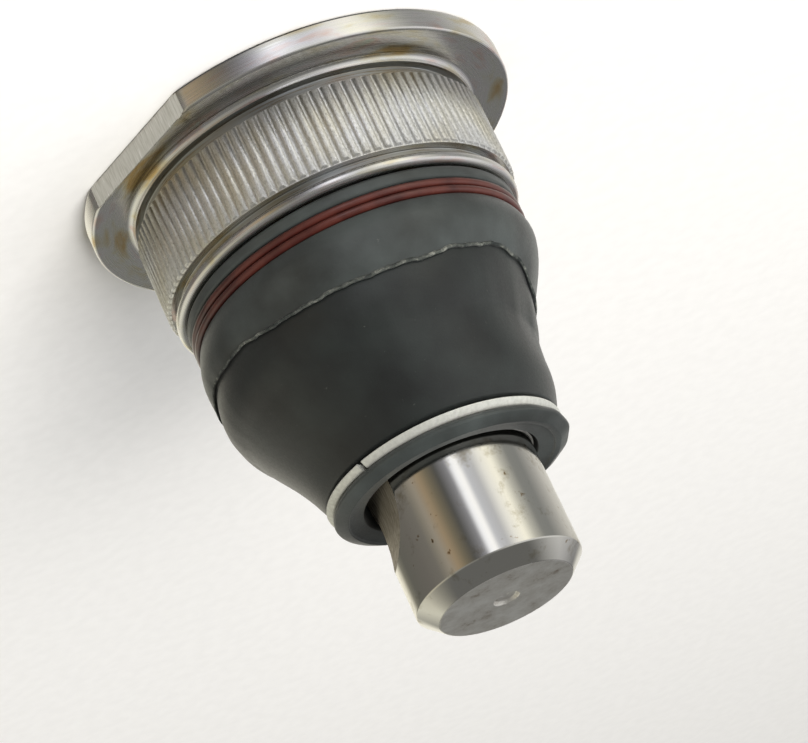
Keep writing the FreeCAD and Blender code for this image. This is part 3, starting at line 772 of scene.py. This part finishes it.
bootSizes = {
    # small roundings: crease in the grooves, edge on the lip and dome, hem inside
    "crease": 0.1, "edge": 0.15, "hem": 0.3,
    "inside": 17.0, "beadFoot": 0.6, "beadTop": 2.05, "bead": 18.4, "beadRound": 0.45,
    "wireSeat": 17.55, "domeFoot": 18.1, "domeBottom": 3.89, "domeRise": 0.7,
    "fold": 18.0, "foldHeight": 9.3, "flash": 0.18, "flashFoot": 0.02, "flashEdges": (0.06, 0.05),
    "shoulder": 17.75, "shoulderStep": 0.1, "waist": 16.25, "waistHeight": 15.2,
    "shoulderRise": 0.42, "waistRise": 0.06,
    "coneEnd": 12.7, "coneEndHeight": 24.35, "coneEndRound": 0.2,
    "ringSeat": 11.0, "ringFoot": 24.7, "ringTop": 25.7,
    "lip": 12.75, "lipStart": 12.4, "lipRound": 26.35, "lipTop": 27.1, "lipFace": 11.35,
    "lipFaceEdge": 0.12, "recess": 0.28,
    "seal": 9.55, "sealFoot": 22.5, "throat": 11.0, "throatHeight": 22.15, "insideRise": 0.5,
    "skirt": 15.55, "skirtHeight": 9.3, "heel": 17.5, "heelHeight": 6.1, "heelFoot": 4.9,
    "steps": 216, "coneRows": 16, "domeRows": 12,
    # height of the torn fold round the boot, by the angle from +X
    "foldHeights": ((-180, 12.3), (-162, 11.8), (-145, 9.9), (-129, 9.3), (-111, 9.7), (-95, 10.35),
                    (-75, 10.4), (-49, 10.2), (-26, 9.15), (0, 8.7), (20, 9.6), (38, 11.4), (65, 10.2),
                    (110, 9.3), (150, 10.4), (180, 12.3)),
    # the fold's ragged waves: height, waves round the boot and where they start
    "ragged": ((0.06, 17, 0), (0.05, 41, 1), (0.03, 83, 2)),
    # above the fold the rubber follows it less and less, up to this far past the waist
    "followTop": 4.0,
    # the cone leans out to one side between these heights
    "leanFoot": 4.5, "leanTop": 22.5, "lean": 1.25, "leanAngle": 10.0,
    # the lip is drawn out opposite, with small nicks
    "lipDrawn": 0.5, "lipAngle": -165.0, "nicks": 19, "nickDepth": 0.05,
    # opposite the lean the boot is drawn in round the fold
    "pinchFoot": 4.0, "pinchTop": 24.0, "pinch": 1.25, "pinchAngle": -168.0,
    # the middle of the wall runs straight between these two, and the inside of it moves only a share
    "wallFoot": (17.8, 6.0), "wallTop": (11.9, 23.3), "insideShare": 0.25,
}


def foldHeight(angle):
    # eases from one named height of the fold to the next, with the small ragged waves of a tear
    stops = bootSizes["foldHeights"]
    for (before, low), (after, high) in zip(stops, stops[1:]):
        if angle <= after:
            share = (angle - before) / (after - before)
            share = (1 - math.cos(math.pi * share)) / 2
            break
    ragged = sum(size * math.sin(waves * math.radians(angle) + start)
                 for size, waves, start in bootSizes["ragged"])
    return low + (high - low) * share + ragged


def sagBoot(radius, height, angle):
    # the rubber as it hangs: fold up and down, cone to one side, lip drawn out with a nicked edge
    s = bootSizes
    around = math.radians(angle)
    (footRadius, foot), (topRadius, top) = s["wallFoot"], s["wallTop"]
    middle = footRadius + (topRadius - footRadius) * (height - foot) / (top - foot)
    moves = 1.0 if radius > middle else s["insideShare"]
    if s["heelHeight"] < height < s["coneEndHeight"]:
        if height < s["foldHeight"] + s["flash"]:
            share = min((height - s["heelHeight"]) / (s["foldHeight"] - s["heelHeight"]), 1.0)
        else:
            reach = s["waistHeight"] + s["followTop"] - s["foldHeight"]
            share = max(1 - (height - s["foldHeight"]) / reach, 0.0)
        height += (foldHeight(angle) - s["foldHeight"]) * share
    if s["leanFoot"] < height < s["leanTop"]:
        swell = math.sin(math.pi * (height - s["leanFoot"]) / (s["leanTop"] - s["leanFoot"])) ** 2
        radius += moves * s["lean"] * swell * math.cos(around - math.radians(s["leanAngle"]))
    if s["pinchFoot"] < height < s["pinchTop"]:
        swell = math.sin(math.pi * (height - s["pinchFoot"]) / (s["pinchTop"] - s["pinchFoot"])) ** 2
        towards = max(math.cos(around - math.radians(s["pinchAngle"])), 0.0)
        radius -= moves * s["pinch"] * swell * towards ** 2
    if height > s["ringTop"] + s["crease"] and radius > s["lipFace"]:
        towards = max(math.cos(around - math.radians(s["lipAngle"])), 0.0)
        radius += s["lipDrawn"] * towards ** 2 + s["nickDepth"] * towards * math.sin(s["nicks"] * around)
    return radius, height


def makeBoot():
    s = bootSizes
    crease, edge, hem = s["crease"], s["edge"], s["hem"]
    domeStart, domeEnd = (s["domeFoot"], s["domeBottom"]), (s["fold"], s["foldHeight"] - s["flash"])
    flashTop, flashFoot = s["fold"] + s["flash"], s["fold"] + s["flashFoot"]
    shoulder, waist = (s["shoulder"], s["foldHeight"] + s["shoulderStep"]), (s["waist"], s["waistHeight"])
    coneEnd = (s["coneEnd"], s["coneEndHeight"])
    recess = s["lipTop"] - s["recess"]
    throat, skirt = (s["throat"], s["throatHeight"]), (s["skirt"], s["skirtHeight"])
    piece = drawOutline("dustBootMoulded", [
        (s["inside"], s["beadFoot"]), (s["bead"], s["beadFoot"], s["beadRound"]),
        (s["bead"], s["beadTop"], s["beadRound"]), (s["wireSeat"], s["beadTop"], crease),
        (s["wireSeat"], s["domeBottom"], crease), (*domeStart, edge),
        *bowCorners(domeStart, domeEnd, s["domeRise"], s["domeRows"]), domeEnd,
        (flashTop, s["foldHeight"], s["flashEdges"][0]),
        (flashFoot, s["foldHeight"] + s["flash"], s["flashEdges"][1]),
        (s["shoulder"] - edge, s["foldHeight"]), shoulder,
        *bowCorners(shoulder, waist, s["shoulderRise"], s["coneRows"]), waist,
        *bowCorners(waist, coneEnd, s["waistRise"], s["coneRows"]), (*coneEnd, s["coneEndRound"]),
        (s["ringSeat"], s["ringFoot"], crease), (s["ringSeat"], s["ringTop"], crease),
        (s["lipStart"], s["ringTop"], edge), (s["lip"], s["lipRound"], hem),
        (s["lipFace"], s["lipTop"], s["lipFaceEdge"]), (s["lipFace"] - edge, recess, crease),
        (s["seal"], recess - edge, crease), (s["seal"], s["sealFoot"], crease), throat,
        *bowCorners(throat, skirt, -s["insideRise"], s["coneRows"]), (*skirt, hem),
        (s["heel"], s["heelHeight"], hem), (s["heel"], s["heelFoot"]), (s["inside"], s["heelFoot"]),
        (s["inside"], s["beadFoot"]),
    ])
    spinOutline(s["steps"])
    putOn(piece, rubberConePaintedShade, rubberBloomAndPaintedSheen, rubberTorn)
    # dome, bead and lip take the lighter rubber, bloom and painted sheen; the cone keeps the darker one,
    # painted shade
    finishFaces(piece, 1, lambda radius, height, angle, normal:
                height < s["foldHeight"] or height > s["ringTop"])
    finishFaces(piece, 2, lambda radius, height, angle, normal:
                radius > s["fold"] - s["flashFoot"] and abs(height - s["foldHeight"]) < s["flash"])
    reshape(piece, sagBoot)
    smoothPiece(piece, 40)
    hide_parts("dust_boot")
    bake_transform(piece)


makeBoot()
print("boot moulded")


# The wire ring: two turns with one jog

wireSizes = {
    "turn": 18.05, "thick": 0.86, "low": 2.52, "high": 3.42, "jogAngle": 105.0, "jogSpan": 24.0,
    "steps": 240,
}


def makeWireRing():
    s = wireSizes
    turns = []
    for number in range(s["steps"] + 1):
        degrees = s["jogSpan"] / 2 + (720 - s["jogSpan"]) * number / s["steps"]
        # it climbs once, where the first turn meets the second
        climb = min(max((degrees - 360) / s["jogSpan"] + 0.5, 0.0), 1.0)
        climb = climb * climb * (3 - 2 * climb)
        angle = math.radians(degrees + s["jogAngle"])
        turns.append(Vector((s["turn"] * math.cos(angle), s["turn"] * math.sin(angle),
                             s["low"] + (s["high"] - s["low"]) * climb)) * mm)
    curve = bpy.data.curves.new("wireRingWound", "CURVE")
    curve.dimensions = "3D"
    spline = curve.splines.new("POLY")
    spline.points.add(len(turns) - 1)
    for point, place in zip(spline.points, turns):
        point.co = (*place, 1)
    curve.bevel_depth = s["thick"] / 2 * mm
    curve.bevel_resolution = 4
    curve.use_fill_caps = True
    piece = bpy.data.objects.new("wireRingWound", curve)
    bpy.context.collection.objects.link(piece)
    workOn(piece)
    bpy.ops.object.convert(target="MESH")
    piece = bpy.context.object
    bpy.ops.object.mode_set(mode="EDIT")
    closeSkin()
    putOn(piece, wireLacquered)
    smoothPiece(piece, 50)
    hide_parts("boot_wire_ring")
    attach(piece, "ball_seats")


makeWireRing()
print("wire ring wound")


# The split ring on the boot's lip

splitRingSizes = {
    "inside": 11.1, "foot": 24.8, "top": 25.6, "footRadius": 13.0, "topRadius": 12.4,
    "footRound": 0.25, "topRound": 0.2, "insideRound": 0.1, "gapAngle": -38.5, "gapWidth": 2.9,
    "steps": 180,
}


def makeSplitRing():
    s = splitRingSizes
    piece = drawOutline("splitRingBent", [
        (s["inside"], s["foot"]), (s["footRadius"], s["foot"], s["footRound"]),
        (s["topRadius"], s["top"], s["topRound"]), (s["inside"], s["top"], s["insideRound"]),
        (s["inside"], s["foot"]),
    ])
    spinOutline(s["steps"], 360 - s["gapWidth"])
    bpy.ops.mesh.select_all(action="DESELECT")
    bpy.ops.mesh.select_non_manifold()
    bpy.ops.mesh.edge_face_add()
    bpy.ops.mesh.normals_make_consistent(inside=False)
    turnMesh(piece, s["gapAngle"] - s["gapWidth"] / 2)
    putOn(piece, bandDull)
    smoothPiece(piece)
    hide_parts("boot_split_ring")
    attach(piece, "boot_collar")


makeSplitRing()
print("split ring bent")

for node, material in (("lower_ball_seat", acetalMoulded), ("upper_ball_seat", acetalMoulded),
                       ("preload_spring", springTempered)):
    putOn(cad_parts[node], material)


# The floor, the light and the camera

studio = {
    "floor": 6000.0,
    "cameraPlace": (94.6, -331.33, 162.21), "cameraAzimuth": 16.0, "cameraElevation": 23.34,
    "cameraRoll": 154.79, "lens": 163.95, "sensor": 36.0,
    "keyWindow": {
        "azimuth": 255, "elevation": 34, "distance": 700, "size": 420, "power": 5.4, "colour": "#fffcf8",
    },
    "skyWindow": {
        "azimuth": 200, "elevation": 70, "distance": 800, "size": 500, "power": 2.6, "colour": "#f8f9ff",
    },
}
room = {
    "strength": 1.7,
    # what stands round the part, level with it and a little lower: windows, a wooden edge, dark gaps
    "low": ((-180, "#8a8a87"), (-173, "#7c7d7b"), (-158, "#7f807d"), (-144, "#b5b4ab"), (-131, "#f8f5e6"),
            (-118, "#e6e5df"), (-106, "#b4b5b8"), (-95, "#bdbfc5"), (-89, "#ffffff"), (-82, "#f4f6fb"),
            (-76, "#85858a"), (-61, "#4c4c4a"), (-49, "#6e6757"), (-37, "#94836b"), (-26, "#8f887c"),
            (-18, "#7d786e"), (-10, "#6c6963"), (10, "#64615c"), (44, "#5d5c56"), (58, "#767469"),
            (70, "#c8c4b4"), (80, "#dcd8c8"), (112, "#bebcb4"), (150, "#b8b6b0"), (180, "#8a8a87")),
    # what stands higher
    "high": ((-180, "#c8c8c6"), (-120, "#c2c2c0"), (-74, "#6a6a68"), (-30, "#87857d"), (10, "#aaa593"),
             (60, "#c6c4b6"), (90, "#686864"), (125, "#5c5c5c"), (150, "#a0a0a0"), (180, "#c8c8c6")),
    "lowTop": -0.05, "highFoot": 0.12, "ceiling": "#5e5e5c", "highTop": 0.5, "ceilingFoot": 0.8,
    "under": "#38383a", "underFoot": -0.86, "underTop": -0.58,
}


def makeFloor():
    deselectAll()
    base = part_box("housing")[0].z
    bpy.ops.mesh.primitive_plane_add(size=studio["floor"] * mm, location=(0, 0, base))
    floor = bpy.context.object
    floor.name = "paleFloor"
    material, tree, shader, place = newMaterial("palePaper", {"Roughness": 0.85})
    fibre = addNode(tree, "ShaderNodeTexNoise", {"Scale": perMetre(2.0), "Detail": 3.0}, {"Vector": place})
    colour = addNode(tree, "ShaderNodeValToRGB", {"stops": ((0.35, "#f1f0ee"), (0.65, "#f4f3f1"))},
                     {"Fac": fibre.outputs["Fac"]})
    feedShader(tree, shader, {"Base Color": colour.outputs[0]})
    putOn(floor, material)
    # the steel mirrors the room and not the floor, as a part lying on its side does
    floor.visible_glossy = False


def addLamp(name):
    # azimuth is counted from +X; the lamp looks at the middle of the part
    s = studio[name]
    turn, rise = math.radians(s["azimuth"]), math.radians(s["elevation"])
    way = Vector((math.cos(turn) * math.cos(rise), math.sin(turn) * math.cos(rise), math.sin(rise)))
    middle = (cadBox[0].z + cadBox[1].z) / 2
    deselectAll()
    bpy.ops.object.light_add(type="AREA", location=Vector((0, 0, middle)) + way * s["distance"] * mm)
    lamp = bpy.context.object
    lamp.name = name
    lamp.rotation_euler = way.to_track_quat("Z", "Y").to_euler()
    lamp.data.size = s["size"] * mm
    lamp.data.energy = s["power"]
    lamp.data.color = fromHex(s["colour"])[:3]
    # the windows only light the scene: what the steel mirrors is the room round it
    lamp.visible_glossy = False


def makeCamera():
    azimuth, rise = math.radians(studio["cameraAzimuth"]), math.radians(studio["cameraElevation"])
    back = Vector((math.sin(azimuth) * math.cos(rise), -math.cos(azimuth) * math.cos(rise), math.sin(rise)))
    right = Vector((math.cos(azimuth), math.sin(azimuth), 0))
    facing = Matrix((right, back.cross(right), back)).transposed().to_4x4()
    roll = Matrix.Rotation(math.radians(studio["cameraRoll"]), 4, "Z")
    deselectAll()
    bpy.ops.object.camera_add()
    camera = bpy.context.object
    camera.name = "photoCamera"
    camera.matrix_world = Matrix.Translation(Vector(studio["cameraPlace"]) * mm) @ facing @ roll
    camera.data.lens = studio["lens"]
    camera.data.sensor_width = studio["sensor"]
    camera.data.clip_start = 0.01
    bpy.context.scene.camera = camera


def makeRoom():
    # the pale room that lights the part and that its steel mirrors, by direction
    world = bpy.data.worlds.new("paleRoom")
    bpy.context.scene.world = world
    world.use_nodes = True
    tree = world.node_tree
    background = tree.nodes["Background"]
    direction = addNode(tree, "ShaderNodeTexCoord").outputs["Generated"]
    parts = addNode(tree, "ShaderNodeSeparateXYZ", {}, {0: direction})
    angle = addNode(tree, "ShaderNodeMath", {"operation": "ARCTAN2"},
                    {0: parts.outputs["Y"], 1: parts.outputs["X"]})
    share = addNode(tree, "ShaderNodeMapRange", {"From Min": -math.pi, "From Max": math.pi},
                    {"Value": angle.outputs[0]})
    bands = []
    for band in ("low", "high"):
        stops = [((azimuth + 180) / 360, colour) for azimuth, colour in room[band]]
        bands.append(addNode(tree, "ShaderNodeValToRGB", {"stops": stops}, {"Fac": share.outputs[0]}))
    upper = addNode(tree, "ShaderNodeMapRange", {"From Min": room["lowTop"], "From Max": room["highFoot"]},
                    {"Value": parts.outputs["Z"]})
    walls = addNode(tree, "ShaderNodeMix", {"data_type": "RGBA"},
                    {0: upper.outputs[0], 6: bands[0].outputs[0], 7: bands[1].outputs[0]})
    top = addNode(tree, "ShaderNodeMapRange", {
        "From Min": room["highTop"], "From Max": room["ceilingFoot"],
    }, {"Value": parts.outputs["Z"]})
    whole = addNode(tree, "ShaderNodeMix", {"data_type": "RGBA", 7: fromHex(room["ceiling"])},
                    {0: top.outputs[0], 6: walls.outputs[2]})
    bottom = addNode(tree, "ShaderNodeMapRange", {
        "From Min": room["underFoot"], "From Max": room["underTop"],
    }, {"Value": parts.outputs["Z"]})
    below = addNode(tree, "ShaderNodeMix", {"data_type": "RGBA", 6: fromHex(room["under"])},
                    {0: bottom.outputs[0], 7: whole.outputs[2]})
    tree.links.new(below.outputs[2], background.inputs["Color"])
    background.inputs["Strength"].default_value = room["strength"]


makeFloor()
makeRoom()
makeCamera()
addLamp("keyWindow")
addLamp("skyWindow")
bpy.context.scene.view_settings.view_transform = "Standard"
print("studio lit")
